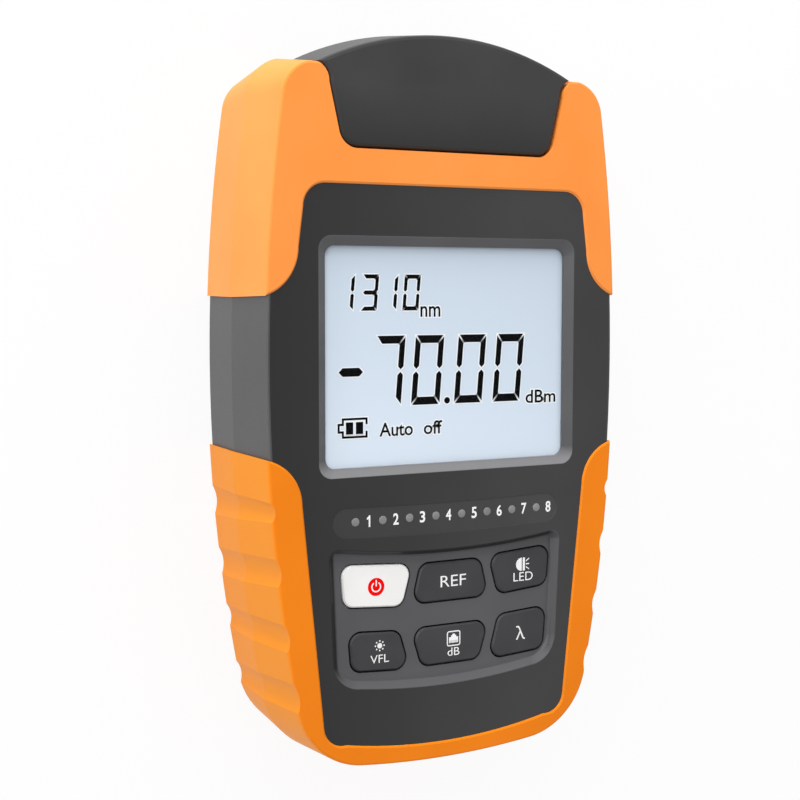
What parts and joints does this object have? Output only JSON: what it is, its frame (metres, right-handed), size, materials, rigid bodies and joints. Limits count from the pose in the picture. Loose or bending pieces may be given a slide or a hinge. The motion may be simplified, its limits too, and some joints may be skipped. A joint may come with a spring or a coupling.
{
  "type": "optical power meter",
  "caption": "Handheld optical power meter with a grey housing, soft bumpers, display, key recess and a pull-off dust cap over its fibre and network ports.",
  "frame": {"origin": "centre of the flat back it lies on", "axes": "+X to the right, +Y along the body to the capped end, +Z out of the display side"},
  "size_m": [0.0676, 0.123, 0.0262],
  "materials": {
    "grey_plastic": "fine texture",
    "panel_plastic": "fine texture",
    "tray_plastic": "satin",
    "orange_rubber": "satin",
    "cap_plastic": "fine texture",
    "bezel_plastic": "satin",
    "clear_lens": "clear",
    "liquid_crystal": "smooth",
    "connector_rubber": "striped",
    "backlight_plastic": "smooth",
    "board": "solder mask",
    "chip_plastic": "moulded",
    "dome_sheet": "pressed",
    "white_key": "smooth",
    "dark_key": "smooth",
    "light_pipe": "smooth",
    "indicator_lamp": "smooth",
    "port_plastic": "fine texture",
    "jack_plastic": "moulded",
    "gold_contact": "plated",
    "port_metal": "turned",
    "sensor_can": "plated",
    "laser_brass": "turned",
    "lamp_lens": "clear",
    "lamp": "smooth",
    "cell_sleeve": "printed sleeve",
    "spring_steel": "plated",
    "screw_steel": "zinc plated"
  },
  "bodies": {
    "housing": {"front_shell": "grey_plastic", "face_panel": "panel_plastic", "key_tray": "tray_plastic", "rear_shell": "grey_plastic", "upper_bumper": "orange_rubber", "lower_bumper": "orange_rubber", "display_bezel": "bezel_plastic", "display_lens": "clear_lens", "display": "liquid_crystal", "display_connectors": "connector_rubber", "backlight": "backlight_plastic", "main_board": "board", "board_chips": "chip_plastic", "key_domes": "dome_sheet", "light_pipes": "light_pipe", "indicator_lamps": "indicator_lamp", "port_wall": "port_plastic", "network_jack": "jack_plastic", "jack_contacts": "gold_contact", "optical_port": "port_metal", "optical_port_nut": "port_metal", "photodiode": "sensor_can", "fault_locator_port": "port_metal", "fault_locator_laser": "laser_brass", "lamp_lens": "lamp_lens", "lamp": "lamp", "battery_door": "grey_plastic", "battery_door_screw": "screw_steel", "battery_cells": "cell_sleeve", "battery_plates": "spring_steel", "battery_springs": "spring_steel", "case_screws": "screw_steel"},
    "dust_cap": {"dust_cap": "cap_plastic"},
    "power_key": {"power_key": "white_key"},
    "reference_key": {"reference_key": "dark_key"},
    "lamp_key": {"lamp_key": "dark_key"},
    "fault_locator_key": {"fault_locator_key": "dark_key"},
    "loss_key": {"loss_key": "dark_key"},
    "wavelength_key": {"wavelength_key": "dark_key"}
  },
  "joints": [
    {"name": "cap_pull", "type": "slide", "parent": "housing", "child": "dust_cap", "axis": [0, 1, 0], "range_m": [0, 0.05]},
    {"name": "power_press", "type": "slide", "parent": "housing", "child": "power_key", "axis": [0, 0, -1], "range_m": [0, 0.0006], "stiffness_N_per_m": 800},
    {"name": "reference_press", "type": "slide", "parent": "housing", "child": "reference_key", "axis": [0, 0, -1], "range_m": [0, 0.0006], "stiffness_N_per_m": 800},
    {"name": "lamp_press", "type": "slide", "parent": "housing", "child": "lamp_key", "axis": [0, 0, -1], "range_m": [0, 0.0006], "stiffness_N_per_m": 800},
    {"name": "fault_locator_press", "type": "slide", "parent": "housing", "child": "fault_locator_key", "axis": [0, 0, -1], "range_m": [0, 0.0006], "stiffness_N_per_m": 800},
    {"name": "loss_press", "type": "slide", "parent": "housing", "child": "loss_key", "axis": [0, 0, -1], "range_m": [0, 0.0006], "stiffness_N_per_m": 800},
    {"name": "wavelength_press", "type": "slide", "parent": "housing", "child": "wavelength_key", "axis": [0, 0, -1], "range_m": [0, 0.0006], "stiffness_N_per_m": 800}
  ]
}
